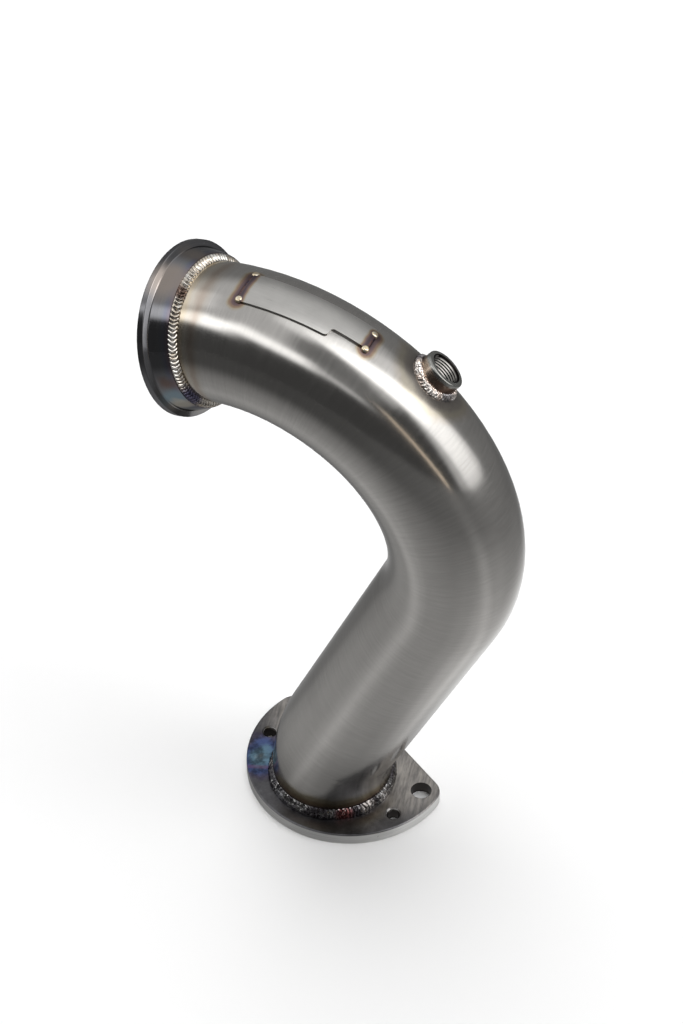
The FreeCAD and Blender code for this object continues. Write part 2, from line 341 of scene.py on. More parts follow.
def tubeMetal(look):
    material, build, shader = newMetal("satinTube")
    along, around = alongTube(build)
    here = build.here()
    # fine scratches run round the tube
    scratches = build.streaks(along, around, look["scratches"])
    brushing = build.streaks(along, around, look["brushing"], *look["brushingNoise"])
    patches = build.noise(here, *look["patches"])
    unevenness = build.wander(build.noise(here, *look["uneven"]), look["unevenness"])
    # painted reflection: two lighter stripes run the whole length at fixed angles round the tube
    lines = 1.0
    for angle in look["paintedReflectionLines"]:
        off = build.minus(around, math.radians(angle) * tubeRadius)
        off = build.plus(off, build.wander(patches, look["reflectionLineWander"]))
        lines = build.plus(lines, build.spread(build.absolute(off), *look["reflectionLineShare"]))
    colour = build.shaded(tubeGrey, lines, (scratches, look["scratchShade"]),
                          (brushing, look["brushingShade"]), (patches, look["patchShade"]))
    bossFoot = bossFrame @ Vector((0, 0, tubeRadius))
    fromBoss = build.minus(build.distanceTo(bossFoot), look["bossWeldEdge"])
    colour = heatTint(build, colour, fromBoss, "boss", look["bossTint"], unevenness)
    colour = plateEndTints(build, colour, look["plateTint"], build.times(unevenness, look["plateUneven"]))
    fromInlet = build.minus(upperBendLength + tubePath["inletStraight"] - look["inletWeldEdge"], along)
    colour = heatTint(build, colour, build.absolute(fromInlet), "inlet", look["inletTint"],
                      build.times(unevenness, look["inletUneven"]))
    fromOutlet = build.minus(build.split(here)[2], look["outletWeldTop"])
    colour = heatTint(build, colour, fromOutlet, "outlet", look["outletTint"],
                      build.times(unevenness, look["outletUneven"]))
    roughness = build.timesPlus(scratches, look["scratchRoughness"],
                                build.evenly(patches, *look["patchRoughness"]))
    finishMetal(build, shader, colour, roughness, scratches, look["bump"])
    return material


# V-band flange
vbandLook = {
    # polished steel; the dark grey is partly painted shade, standing in for the dark surroundings the flange
    # mirrors
    "colour": (0.209, 0.209, 0.219),
    "lines": (2600.0, 2600.0, 0.6),
    "lineNoise": (1.0, 2.0, 0.6),
    "cloud": (45.0, 3.0, 0.6),
    "edgeTint": 0.6,
    "lineShade": (0.2, 0.8, 0.88, 1.08),
    "cloudShade": (0.3, 0.7, 0.9, 1.05),
    "roughness": (0.2, 0.8, 0.06, 0.15),
    "bump": (0.12, 0.05 * mm),
    "weldEdge": 16.5 * mm,
    "bandWidth": 17 * mm,
    "bandWander": 6 * mm,
    "hotSpot": (-20 * mm, 10 * mm, -46 * mm),
    "hotShare": (44 * mm, 14 * mm, 0.0, 0.75),
    "warmShare": (7 * mm, 0.0, 0.0, 0.3),
    "stainRing": (46 * mm, 12 * mm),
    "stainWander": 16 * mm,
    "stainEdge": (0.3, 0.8),
    "stains": ((192, 17 * mm, (0.350, 0.300, 0.265)), (164, 12 * mm, (0.330, 0.290, 0.260)),
               (272, 8 * mm, (0.175, 0.120, 0.105)), (286, 10 * mm, (0.200, 0.270, 0.310)),
               (298, 8 * mm, (0.420, 0.390, 0.330))),
}
vbandTints = [(0.00, (0.351, 0.270, 0.176)), (0.22, (0.203, 0.115, 0.176)), (0.40, (0.068, 0.108, 0.311)),
              (0.56, (0.149, 0.284, 0.338)), (0.74, (0.392, 0.351, 0.257)), (1.00, vbandLook["colour"])]


def onCircle(place, degrees, radius, height):
    angle = math.radians(degrees)
    return place @ Vector((radius * math.cos(angle), radius * math.sin(angle), height))


def turnedMetal(look):
    material, build, shader = newMetal("turnedFlange", look["edgeTint"])
    x, y, z = build.split(build.local(openFace))
    around = build.combine(build.length(x, y), z, build.angle(y, x))
    lines = build.noise(build.vector("MULTIPLY", around, look["lines"]), *look["lineNoise"])
    cloud = build.noise(build.here(), *look["cloud"])
    colour = build.shaded(look["colour"], (lines, look["lineShade"]), (cloud, look["cloudShade"]))
    # bands of oxide behind the weld, strongest low on the side welded last
    fromWeld = build.minus(look["weldEdge"], z)
    bandReach = build.over(build.timesPlus(cloud, look["bandWander"], fromWeld), look["bandWidth"])
    hotPlace = openFace.translation + Vector(look["hotSpot"])
    hot = build.spread(build.distanceTo(hotPlace), *look["hotShare"])
    warm = build.spread(fromWeld, *look["warmShare"])
    colour = build.mix(build.larger(hot, warm), colour, build.ramp(bandReach, vbandTints))
    for degrees, size, stain in look["stains"]:
        middle = onCircle(openFace, degrees, *look["stainRing"])
        near = build.plus(build.distanceTo(middle), build.wander(cloud, look["stainWander"]))
        colour = stained(build, colour, near, size, stain, *look["stainEdge"])
    finishMetal(build, shader, colour, (lines, look["roughness"]), lines, look["bump"])
    return material


# outlet flange
outletLook = {
    "scale": (0.108, 0.107, 0.113),
    "linished": (0.520, 0.485, 0.445),
    # the side is a lighter cut edge, and its grey is partly painted reflection, raised to stand in for the
    # bright floor it mirrors
    "side": (0.860, 0.855, 0.840),
    "cloud": (48.0, 4.0, 0.62),
    "grit": (420.0, 3.0, 0.7),
    "strokes": (60.0, 420.0),
    "strokeSlope": 0.55,
    "cloudShade": (0.3, 0.7, 0.55, 1.5),
    "gritShade": (0.2, 0.8, 0.8, 1.2),
    "linishedShade": (0.3, 0.7, 0.7, 1.2),
    "strokeShare": (0.25, 0.75, 0.25, 0.95),
    "strokeHeight": 1.4,
    "lugs": ((26 * mm, -40 * mm, 8 * mm), (26 * mm, 40 * mm, 8 * mm)),
    "lugShare": (42 * mm, 12 * mm),
    "tappedHoles": {"radius": 4.0 * mm, "places": ((-1.6 * mm, -52.4 * mm), (-1.6 * mm, 52.4 * mm))},
    "lugHoles": {"radius": 6.5 * mm, "places": ((24.4 * mm, -53.5 * mm), (24.4 * mm, 53.5 * mm))},
    "rimWidth": 0.7 * mm,
    "paintedRimShade": (0.030, 0.028, 0.028),
    "holeMargin": 0.15 * mm,
    "paintedHoleShade": (0.040, 0.036, 0.034),
    "tintMiddle": (-21 * mm, 43 * mm, 8 * mm),
    "tintNoise": (130.0, 3.0, 0.6),
    "tintWander": 18 * mm,
    "tintReach": 34 * mm,
    "tintShare": (34 * mm, 22 * mm, 0.0, 0.9),
    "tintShade": (0.35, 0.65, 0.45, 1.5),
    "seamAngle": 127.5,
    "seamShare": (2.2 * mm, 0.5 * mm),
    "seamStrength": 0.35,
    "seamColour": (0.203, 0.047, 0.095),
    "sideLines": (60.0, 60.0, 2400.0),
    "sideShade": (0.25, 0.75, 0.8, 1.12),
    "topEdge": (6.7 * mm, 7.7 * mm),
    "roughness": (0.3, 0.7, 0.26, 0.41),
    "bump": (0.25, 0.12 * mm),
}
outletTints = [(0.22, (0.338, 0.365, 0.351)), (0.42, (0.115, 0.203, 0.270)), (0.62, (0.061, 0.088, 0.203)),
               (0.80, (0.081, 0.068, 0.115)), (1.00, outletLook["scale"])]


def linishedMetal(look):
    material, build, shader = newMetal("linishedFlange")
    here = build.here()
    x, y, z = build.split(here)
    cloud = build.noise(here, *look["cloud"])
    grit = build.noise(here, *look["grit"])
    # linishing strokes, coarse and short
    slope = look["strokeSlope"]
    strokes = build.streaks(build.timesPlus(y, slope, x), build.timesPlus(x, -slope, y), look["strokes"])
    top = build.shaded(look["scale"], (cloud, look["cloudShade"]), (grit, look["gritShade"]))
    nearLug = build.larger(*[build.spread(build.distanceTo(lug), *look["lugShare"]) for lug in look["lugs"]])
    rubbed = build.times(nearLug, build.spread(strokes, *look["strokeShare"]))
    linished = build.shaded(look["linished"], (cloud, look["linishedShade"]))
    top = build.mix(rubbed, top, linished)
    # blue and silver oxide on the left with a purple line through it
    fromTint = build.timesPlus(cloud, look["tintWander"], build.distanceTo(look["tintMiddle"]))
    tint = build.ramp(build.over(fromTint, look["tintReach"]), outletTints)
    tint = build.shaded(tint, build.spread(build.noise(here, *look["tintNoise"]), *look["tintShade"]))
    top = build.mix(build.spread(fromTint, *look["tintShare"]), top, tint)
    seam = math.radians(look["seamAngle"])
    offSeam = build.minus(build.times(y, math.cos(seam)), build.times(x, math.sin(seam)))
    onSeam = build.times(build.spread(build.absolute(offSeam), *look["seamShare"]),
                         build.math("GREATER_THAN", y, 0.0))
    top = build.mix(build.times(onSeam, look["seamStrength"]), top, look["seamColour"])

    def fromHole(place):
        return build.length(build.minus(x, place[0]), build.minus(y, place[1]))

    tapped = look["tappedHoles"]
    # painted shade: a dark ring round each tapped hole
    for place in tapped["places"]:
        rim = build.spread(fromHole(place), tapped["radius"] + look["rimWidth"], tapped["radius"])
        top = build.mix(rim, top, look["paintedRimShade"])
    sideLines = build.noise(build.vector("MULTIPLY", here, look["sideLines"]), 1.0, 2.0)
    side = build.shaded(look["side"], (sideLines, look["sideShade"]))
    colour = build.mix(build.spread(z, *look["topEdge"]), side, top)
    # painted shade: the holes' walls are dark
    for holes in (look["lugHoles"], tapped):
        for place in holes["places"]:
            inHole = build.lessThan(fromHole(place), holes["radius"] + look["holeMargin"])
            colour = build.mix(inHole, colour, look["paintedHoleShade"])
    height = build.timesPlus(build.times(strokes, nearLug), look["strokeHeight"], grit)
    finishMetal(build, shader, colour, (cloud, look["roughness"]), height, look["bump"])
    return material


# plate
plateLook = {
    "colour": (0.560, 0.550, 0.530),
    "grain": (70.0, 1500.0),
    "cloud": (60.0, 3.0, 0.6),
    "grainShade": (0.2, 0.8, 0.94, 1.05),
    "cloudShade": (0.3, 0.7, 0.92, 1.05),
    "roughness": (0.2, 0.8, 0.26, 0.35),
    "bump": (0.10, 0.05 * mm),
    "tint": 3.2 * mm,
    "unevenness": 3 * mm,
}


def plateMetal(look):
    material, build, shader = newMetal("satinPlate")
    grain = build.streaks(*alongTube(build), look["grain"])
    cloud = build.noise(build.here(), *look["cloud"])
    colour = build.shaded(look["colour"], (grain, look["grainShade"]), (cloud, look["cloudShade"]))
    colour = plateEndTints(build, colour, look["tint"], build.wander(cloud, look["unevenness"]))
    finishMetal(build, shader, colour, (grain, look["roughness"]), grain, look["bump"])
    return material


# sensor boss
bossLook = {
    "outerRadius": 12.0 * mm,
    "threadRoot": 9.0 * mm,
    "threadCrest": 8.19 * mm,
    "height": 8.0 * mm,
    "chamfer": 1.1 * mm,
    "sunk": 1.2 * mm,
    "paintedLightAt": -140.0,
    "pitch": 1.5 * mm,
    "turns": 5.6,
    "facets": 128,
    "side": (0.203, 0.135, 0.105),
    "sideLight": (0.560, 0.450, 0.360),
    "top": (0.360, 0.362, 0.345),
    "root": (0.012, 0.011, 0.010),
    "crest": (0.300, 0.290, 0.275),
    "crestBand": (-0.10 * mm, 0.22 * mm),
    "boreRoughness": 0.22,
    "linesPerMetre": 2600.0,
    "lineShade": (0.2, 0.8, 0.85, 1.12),
    "lineNoise": (1.0, 2.0, 0.6),
    "cloud": (170.0, 3.0, 0.65),
    "paintedLightShare": (0.9, 0.2),
    "paintedLightCloud": (0.30, 0.52),
    "lightCloud": (0.5, 0.66, 0.0, 0.7),
    "topBand": (3.2 * mm, 1.2 * mm),
    "topWander": 3 * mm,
    "roughness": 0.2,
    "bump": (0.15, 0.06 * mm),
    "chamferSteps": 4,
    "boreChamfer": 0.5 * mm,
    "threadInset": 0.7 * mm,
    "threadSteps": 80,
    "sharpSide": 32,
    "sharpThread": 30,
}


def bossMetal(look):
    material, build, shader = newMetal("turnedBoss")
    x, y, z = build.split(build.local(bossFrame))
    turn = build.angle(y, x)
    lines = build.noise(build.combine(0.0, turn, build.times(z, look["linesPerMetre"])), *look["lineNoise"])
    cloud = build.noise(build.here(), *look["cloud"])
    # painted light: the side towards the inlet is lighter by angle round the boss, broken up by noise; the
    # other lighter patches are random tone
    aside = build.absolute(build.minus(turn, math.radians(look["paintedLightAt"])))
    rubbed = build.times(build.spread(aside, *look["paintedLightShare"]),
                         build.spread(cloud, *look["paintedLightCloud"]))
    light = build.larger(rubbed, build.spread(cloud, *look["lightCloud"]))
    side = build.mix(light, look["side"], look["sideLight"])
    rise = build.plus(z, build.wander(cloud, look["topWander"]))
    topBand = [tubeRadius + look["height"] - depth for depth in look["topBand"]]
    colour = build.mix(build.spread(rise, *topBand), side, look["top"])
    colour = build.shaded(colour, (lines, look["lineShade"]))
    finishMetal(build, shader, colour, look["roughness"], lines, look["bump"])
    return material


def boreMetal(look):
    # painted shade in the thread roots and painted highlight on the crests: black roots, lighter crests, by
    # distance from the axis
    material, build, shader = newMetal("threadedBore")
    x, y = build.split(build.local(bossFrame))[:2]
    rootEdge, crestEdge = look["crestBand"]
    crest = build.spread(build.length(x, y), look["threadRoot"] + rootEdge, look["threadCrest"] + crestEdge)
    build.feed(shader.inputs["Base Color"], build.mix(crest, look["root"], look["crest"]))
    build.feed(shader.inputs["Roughness"], look["boreRoughness"])
    return material


def placed(name, data):
    thing = bpy.data.objects.new(name, data)
    scene.collection.objects.link(thing)
    return thing


def meshPiece(name, mesh, materials):
    data = bpy.data.meshes.new(name)
    mesh.to_mesh(data)
    mesh.free()
    for material in materials:
        data.materials.append(material)
    return placed(name, data)


def bossBody(outside, inside):
    # the boss's section turned about its axis, its foot inside the tube's wall
    top = tubeRadius + bossLook["height"]
    foot = tubeRadius - bossLook["sunk"]
    outer, root, chamfer = bossLook["outerRadius"], bossLook["threadRoot"], bossLook["chamfer"]
    section = [(root, foot), (outer, foot), (outer, top - chamfer)]
    for step in range(1, bossLook["chamferSteps"] + 1):
        angle = math.radians(90 * step / bossLook["chamferSteps"])
        section.append((outer - chamfer * (1 - math.cos(angle)), top - chamfer * (1 - math.sin(angle))))
    section += [(root + bossLook["boreChamfer"], top), (root, top - bossLook["boreChamfer"])]
    inBore = len(section) - 2
    mesh = bmesh.new()
    rings = []
    for step in range(bossLook["facets"]):
        angle = 2 * math.pi * step / bossLook["facets"]
        rings.append([mesh.verts.new((r * math.cos(angle), r * math.sin(angle), z)) for r, z in section])
    for step, ring in enumerate(rings):
        following = rings[(step + 1) % len(rings)]
        for i in range(len(section)):
            j = (i + 1) % len(section)
            face = mesh.faces.new((ring[i], following[i], following[j], ring[j]))
            face.smooth = True
            face.material_index = 1 if i >= inBore else 0
    bmesh.ops.recalc_face_normals(mesh, faces=mesh.faces)
    piece = meshPiece("sensorBoss", mesh, [outside, inside])
    piece.data.transform(bossFrame)
    piece.data.set_sharp_from_angle(angle=math.radians(bossLook["sharpSide"]))
    return piece


def newGeometryTree(name, inputs):
    # a modifier tree with named sizes and one geometry output
    tree = bpy.data.node_groups.new(name, "GeometryNodeTree")
    tree.interface.new_socket("Geometry", in_out="INPUT", socket_type="NodeSocketGeometry")
    for label, value in inputs.items():
        kind = "NodeSocketInt" if isinstance(value, int) else "NodeSocketFloat"
        tree.interface.new_socket(label, in_out="INPUT", socket_type=kind).default_value = value
    tree.interface.new_socket("Geometry", in_out="OUTPUT", socket_type="NodeSocketGeometry")
    build = NodeBuilder(tree)
    return tree, build, build.add("NodeGroupInput").outputs


def endGeometryTree(build, geometry, material):
    real = build.add("GeometryNodeRealizeInstances", {0: geometry})
    smooth = build.add("GeometryNodeSetShadeSmooth", {0: real.outputs[0]})
    coloured = build.add("GeometryNodeSetMaterial", {"Geometry": smooth.outputs[0], "Material": material})
    build.add("NodeGroupOutput", {0: coloured.outputs[0]})


def evaluatedPiece(carrier, tree, values):
    # runs a tree on a carrier object and keeps the result as an ordinary mesh
    modifier = carrier.modifiers.new("shape", "NODES")
    modifier.node_group = tree
    for item in tree.interface.items_tree:
        if item.in_out == "INPUT" and item.name in values:
            modifier[item.identifier] = values[item.name]
    bpy.context.view_layer.update()
    evaluated = carrier.evaluated_get(bpy.context.evaluated_depsgraph_get())
    data = bpy.data.meshes.new_from_object(evaluated)
    name = carrier.name
    bpy.data.objects.remove(carrier)
    data.name = name
    return placed(name, data)


def bossThread(material):
    # one triangular ridge swept along a helix inside the bore
    sizes = {"Turns": bossLook["turns"], "Root Radius": bossLook["threadRoot"], "Pitch": bossLook["pitch"],
             "Depth": bossLook["threadRoot"] - bossLook["threadCrest"]}
    tree, build, source = newGeometryTree("bossThread", sizes)
    height = build.times(source["Turns"], source["Pitch"])
    helix = build.add("GeometryNodeCurveSpiral", {
        "Resolution": bossLook["threadSteps"], "Rotations": source["Turns"], "Height": height,
        "Start Radius": source["Root Radius"], "End Radius": source["Root Radius"]})
    upright = build.add("GeometryNodeSetCurveNormal", {"Curve": helix.outputs[0]}, mode="Z_UP")
    ridge = build.add("GeometryNodeCurvePrimitiveCircle", {"Resolution": 4, "Radius": source["Depth"]},
                      mode="RADIUS")
    swept = build.add("GeometryNodeCurveToMesh",
                      {"Curve": upright.outputs[0], "Profile Curve": ridge.outputs[0], "Fill Caps": True})
    endGeometryTree(build, swept.outputs[0], material)
    piece = evaluatedPiece(placed("bossThread", bpy.data.meshes.new("bossThread")), tree, sizes)
    threadLength = bossLook["turns"] * bossLook["pitch"]
    bottom = tubeRadius + bossLook["height"] - bossLook["threadInset"] - threadLength
    piece.data.transform(bossFrame @ moveBy(0, 0, bottom))
    piece.data.set_sharp_from_angle(angle=math.radians(bossLook["sharpThread"]))
    return piece


def joined(name, first, second):
    with bpy.context.temp_override(active_object=first, selected_editable_objects=[first, second]):
        bpy.ops.object.join()
    first.name = name
    return first


# weld beads: a plain bead swept round, then rippled
inletWeldLook = {"seat": 15.8 * mm, "along": 3.2 * mm, "across": 3.8 * mm, "crown": 0.55 * mm,
                 "sections": 1200,
                 "ripples": {"Pitch": 2.35 * mm, "Ripple Height": 0.42 * mm, "Bow": 0.75, "Wander": 0.35,
                             "Lump Height": 0.12 * mm, "Lump Scale": 600.0, "Seed": 5}}
outletWeldLook = {"seat": 8.0 * mm, "along": 7.0 * mm, "across": 3.0 * mm, "crown": 0.55 * mm,
                  "sections": 1200,
                  "ripples": {"Pitch": 2.6 * mm, "Ripple Height": 0.34 * mm, "Bow": 0.5, "Wander": 0.9,
                              "Lump Height": 1.0 * mm, "Lump Scale": 260.0, "Seed": 8}}
bossWeldLook = {"leg": 2.9 * mm, "rise": 0.92, "sunk": 0.05 * mm, "rootInset": 0.4 * mm, "sections": 520,
                "ripples": {"Pitch": 1.9 * mm, "Ripple Height": 0.28 * mm, "Bow": 0.6, "Wander": 0.8,
                            "Lump Height": 0.8 * mm, "Lump Scale": 420.0, "Seed": 11}}
beadSteps = 12
skinSteps = 8
# the closed underside of a bead, hidden in the metal; its points count as outside the rippled face
beadRoot = {"skinDepth": 0.3 * mm, "depth": 0.8 * mm, "below": 0.2 * mm, "across": 1.4}
rippleShape = {"wanderScale": 160.0, "wanderTurns": 3.0, "skew": 0.75, "lumpFrom": 0.42,
               "lumpGain": 2.0, "faceShare": (1.02, 0.72)}


def ringSection(radial, look):
    # crowned fillet face from the flange to the tube's skin, then the hidden root
    low = radial * (tubeRadius + look["across"]) + Vector((0, 0, look["seat"]))
    top = Vector((0, 0, look["seat"] + look["along"]))
    high = radial * (tubeRadius - beadRoot["skinDepth"]) + top
    slope = (high - low).normalized()
    out = radial * slope.z - Vector((0, 0, slope.dot(radial)))
    points = []
    for step in range(beadSteps + 1):
        across = 2 * step / beadSteps - 1
        crown = out * look["crown"] * (1 - across ** 2)
        points.append((low.lerp(high, step / beadSteps) + crown, out, across))
    root = radial * (tubeRadius - beadRoot["depth"])
    for end in (top, Vector((0, 0, look["seat"] - beadRoot["below"]))):
        points.append((root + end, out, beadRoot["across"]))
    return points


def skinHeight(x, y):
    # height of the tube's skin under a point of the boss's frame
    height = tubeRadius
    toBend = upperBendStart.inverted() @ bossFrame
    for step in range(skinSteps):
        point = toBend @ Vector((x, y, height))
        reach = math.hypot(bendRadius - point.x, point.z) - bendRadius
        height += tubeRadius - math.hypot(reach, point.y)
    return height


def bossSection(radial, look):
    # quarter-round bead from the boss's wall down to the tube's skin
    wall = bossLook["outerRadius"]
    points = []
    for step in range(beadSteps + 1):
        angle = math.radians(90 * step / beadSteps)
        reach = wall + look["leg"] * math.sin(angle)
        height = skinHeight(radial.x * reach, radial.y * reach)
        height += look["leg"] * math.cos(angle) * look["rise"] - look["sunk"]
        out = leaning(radial, 90 - math.degrees(angle))
        points.append((radial * reach + Vector((0, 0, height)), out, 2 * step / beadSteps - 1))
    for edge in (wall + look["leg"], wall):
        reach = edge - look["rootInset"]
        height = skinHeight(radial.x * reach, radial.y * reach) - beadRoot["depth"]
        points.append((radial * reach + Vector((0, 0, height)), radial, beadRoot["across"]))
    return points


def rippleTree(name, sizes, material):
    # pushes the bead's face out in bowed, wandering ripples and small lumps
    tree, build, source = newGeometryTree(name, sizes)

    def stored(label, kind):
        node = build.add("GeometryNodeInputNamedAttribute", {"Name": label}, data_type=kind)
        return node.outputs["Attribute"]

    along, across = stored("along", "FLOAT"), stored("across", "FLOAT")
    outward = stored("outward", "FLOAT_VECTOR")
    position = build.vector("ADD", build.add("GeometryNodeInputPosition").outputs[0],
                            build.combine(source["Seed"], 0.0, 0.0))
    wander = build.minus(build.noise(position, rippleShape["wanderScale"]), 0.5)
    phase = build.over(along, source["Pitch"])
    phase = build.timesPlus(build.times(across, across), source["Bow"], phase)
    phase = build.timesPlus(wander, build.times(source["Wander"], rippleShape["wanderTurns"]), phase)
    turn = build.times(phase, 2 * math.pi)
    wave = build.sine(build.timesPlus(build.sine(turn), rippleShape["skew"], turn))
    lumps = build.minus(build.noise(position, source["Lump Scale"]), rippleShape["lumpFrom"])
    lumps = build.times(lumps, build.times(source["Lump Height"], rippleShape["lumpGain"]))
    inFace = build.spread(build.absolute(across), *rippleShape["faceShare"])
    height = build.times(build.plus(build.times(wave, source["Ripple Height"]), lumps), inFace)
    stores = {"Geometry": source["Geometry"], "Name": "ripple", "Value": build.timesPlus(wave, 0.5, 0.5)}
    kept = build.add("GeometryNodeStoreNamedAttribute", stores, data_type="FLOAT", domain="POINT")
    offset = build.vector("MULTIPLY", outward, build.combine(height, height, height))
    moved = build.add("GeometryNodeSetPosition", {"Geometry": kept.outputs[0], "Offset": offset})
    endGeometryTree(build, moved.outputs[0], material)
    return tree


def weldBead(name, place, section, look, material):
    # a closed ring of sections, with its own measures kept as attributes
    count = look["sections"]
    points, faces, along, across, outward = [], [], [], [], []
    travelled, last = 0.0, None
    for step in range(count):
        angle = 2 * math.pi * step / count
        ring = section(Vector((math.cos(angle), math.sin(angle), 0)), look)
        middle = ring[beadSteps // 2][0]
        travelled += (middle - last).length if last else 0.0
        last = middle
        for point, out, side in ring:
            points.append(place @ point)
            outward.append(place.to_3x3() @ out)
            across.append(side)
            along.append(travelled)
    width = len(ring)
    for step in range(count):
        here, there = step * width, (step + 1) % count * width
        for i in range(width):
            j = (i + 1) % width
            faces.append((here + i, there + i, there + j, here + j))
    # a whole number of ripples goes round
    circumference = travelled + (last - section(Vector((1, 0, 0)), look)[beadSteps // 2][0]).length
    ripples = dict(look["ripples"])
    ripples["Pitch"] = circumference / round(circumference / ripples["Pitch"])
    data = bpy.data.meshes.new(name)
    data.from_pydata(points, [], faces)
    for label, values in (("along", along), ("across", across)):
        data.attributes.new(label, "FLOAT", "POINT").data.foreach_set("value", values)
    flat = [part for direction in outward for part in direction]
    data.attributes.new("outward", "FLOAT_VECTOR", "POINT").data.foreach_set("vector", flat)
    mesh = bmesh.new()
    mesh.from_mesh(data)
    bmesh.ops.recalc_face_normals(mesh, faces=mesh.faces)
    mesh.to_mesh(data)
    mesh.free()
    return evaluatedPiece(placed(name, data), rippleTree(name + "Ripples", ripples, material), ripples)


# what all the bead materials share
beadCommon = {"edgeTint": 0.8, "patchDetail": (3.0, 0.6), "spots": (380.0, 3.0, 0.7),
              "spotRange": (0.55, 0.72), "markEdge": (0.35, 0.9), "valleyRange": (0.0, 0.55),
              "paintedGlints": (620.0, 2.0, 0.6), "glintRange": (0.57, 0.62), "paintedGlintColour": (0.900, 0.890, 0.880),
              "clumps": (75.0, 2.0, 0.5), "clumpRange": (0.47, 0.60), "crystalHeight": 0.8, "relief": 0.2 * mm}


def beadMetal(name, look):
    # bright bead with patches of oxide, spots, and painted shade in the ripples' valleys
    material, build, shader = newMetal(name, beadCommon["edgeTint"])
    here = build.here()
    spots = build.noise(here, *beadCommon["spots"])
    patches = build.noise(here, look["patchScale"], *beadCommon["patchDetail"])
    colour = build.ramp(patches, look["stops"])
    spotted = build.spread(spots, *beadCommon["spotRange"], 0.0, look["spots"])
    colour = build.mix(spotted, colour, look["dark"])
    for degrees, size, tint in look.get("marks", ()):
        place, radius, height = look["circle"]
        away = build.distanceTo(onCircle(place, degrees, radius, height))
        colour = stained(build, colour, away, size, tint, *beadCommon["markEdge"])
    if "paintedValleyShade" in look:
        # painted shade: darker where the ripple is low
        ripple = build.add("ShaderNodeAttribute", attribute_name="ripple").outputs["Fac"]
        paintedValleyShade = build.spread(ripple, *beadCommon["valleyRange"], 1.0 - look["paintedValleyShade"], 1.0)
        colour = build.shaded(colour, paintedValleyShade)
    if "paintedSparkles" in look:
        # painted highlights: clumps of small white glints in the colour
        paintedGlints = build.noise(here, *beadCommon["paintedGlints"])
        paintedGlints = build.spread(paintedGlints, *beadCommon["glintRange"], 0.0, look["paintedSparkles"])
        clumps = build.spread(build.noise(here, *beadCommon["clumps"]), *beadCommon["clumpRange"])
        colour = build.mix(build.times(paintedGlints, clumps), colour, beadCommon["paintedGlintColour"])
    crystals = build.add("ShaderNodeTexVoronoi", {"Vector": here, "Scale": look["crystalScale"]},
                         feature="F1")
    height = build.timesPlus(crystals.outputs["Distance"], beadCommon["crystalHeight"], spots)
    finishMetal(build, shader, colour, look["roughness"], height, (look["bump"], beadCommon["relief"]))
    return material


beadLooks = {
    "inletBead": {
        "stops": [(0.34, (0.800, 0.775, 0.735)), (0.48, (0.640, 0.575, 0.490)), (0.60, (0.800, 0.780, 0.740)),
                  (0.74, (0.400, 0.320, 0.255))],
        "dark": (0.176, 0.128, 0.121), "spots": 0.5, "patchScale": 55.0, "paintedValleyShade": 0.6, "crystalScale": 900.0,
        "bump": 0.25, "roughness": 0.17, "circle": (openFace, 40.5 * mm, 17.5 * mm),
        "marks": ((200, 6 * mm, (0.149, 0.088, 0.068)), (292, 12 * mm, (0.149, 0.149, 0.270)))},
    "outletBead": {
        "stops": [(0.32, (0.135, 0.132, 0.142)), (0.46, (0.068, 0.061, 0.068)), (0.58, (0.176, 0.173, 0.169)),
                  (0.72, (0.081, 0.074, 0.095))],
        "dark": (0.047, 0.041, 0.047), "spots": 0.6, "patchScale": 60.0, "paintedValleyShade": 0.3, "paintedSparkles": 0.85,
        "crystalScale": 700.0, "bump": 0.45, "roughness": 0.14, "circle": (Matrix(), 40.0 * mm, 11 * mm),
        # the light grey marks at -104, -84 and 165 degrees are painted glints; the dark red one at -128 is
        # oxide
        "marks": ((-128, 8 * mm, (0.150, 0.045, 0.042)), (-104, 7 * mm, (0.513, 0.472, 0.446)),
                  (-84, 5 * mm, (0.486, 0.472, 0.472)), (165, 5 * mm, (0.405, 0.405, 0.419)))},
    "bossBead": {
        "stops": [(0.32, (0.930, 0.870, 0.810)), (0.48, (0.800, 0.680, 0.600)), (0.60, (0.940, 0.890, 0.840)),
                  (0.74, (0.450, 0.400, 0.390))],
        "dark": (0.400, 0.320, 0.290), "spots": 0.40, "patchScale": 130.0, "paintedValleyShade": 0.30,
        "crystalScale": 900.0, "bump": 0.28, "roughness": 0.18, "circle": (bossFrame, 13.5 * mm, 38 * mm),
        # the darker marks at the bead's two ends are painted shade
        "marks": ((170, 7 * mm, (0.160, 0.155, 0.170)), (-40, 7 * mm, (0.260, 0.255, 0.270)))},
    "tackBead": {
        "stops": [(0.30, (0.891, 0.824, 0.648)), (0.50, (0.810, 0.675, 0.472)), (0.64, (0.864, 0.810, 0.675)),
                  (0.78, (0.324, 0.203, 0.162))],
        "dark": (0.203, 0.121, 0.108), "spots": 0.45, "patchScale": 260.0, "crystalScale": 900.0, "bump": 0.3,
        "roughness": 0.18},
    "burntBead": {
        "stops": [(0.30, (0.101, 0.068, 0.088)), (0.48, (0.203, 0.121, 0.108)), (0.62, (0.081, 0.061, 0.095)),
                  (0.78, (0.351, 0.270, 0.203))],
        "dark": (0.041, 0.030, 0.041), "spots": 0.5, "patchScale": 240.0, "crystalScale": 900.0, "bump": 0.4,
        "roughness": 0.2},
}


def dress(material, *names):
    for name in names:
        data = nodes[name].data
        data.materials.clear()
        data.materials.append(material)


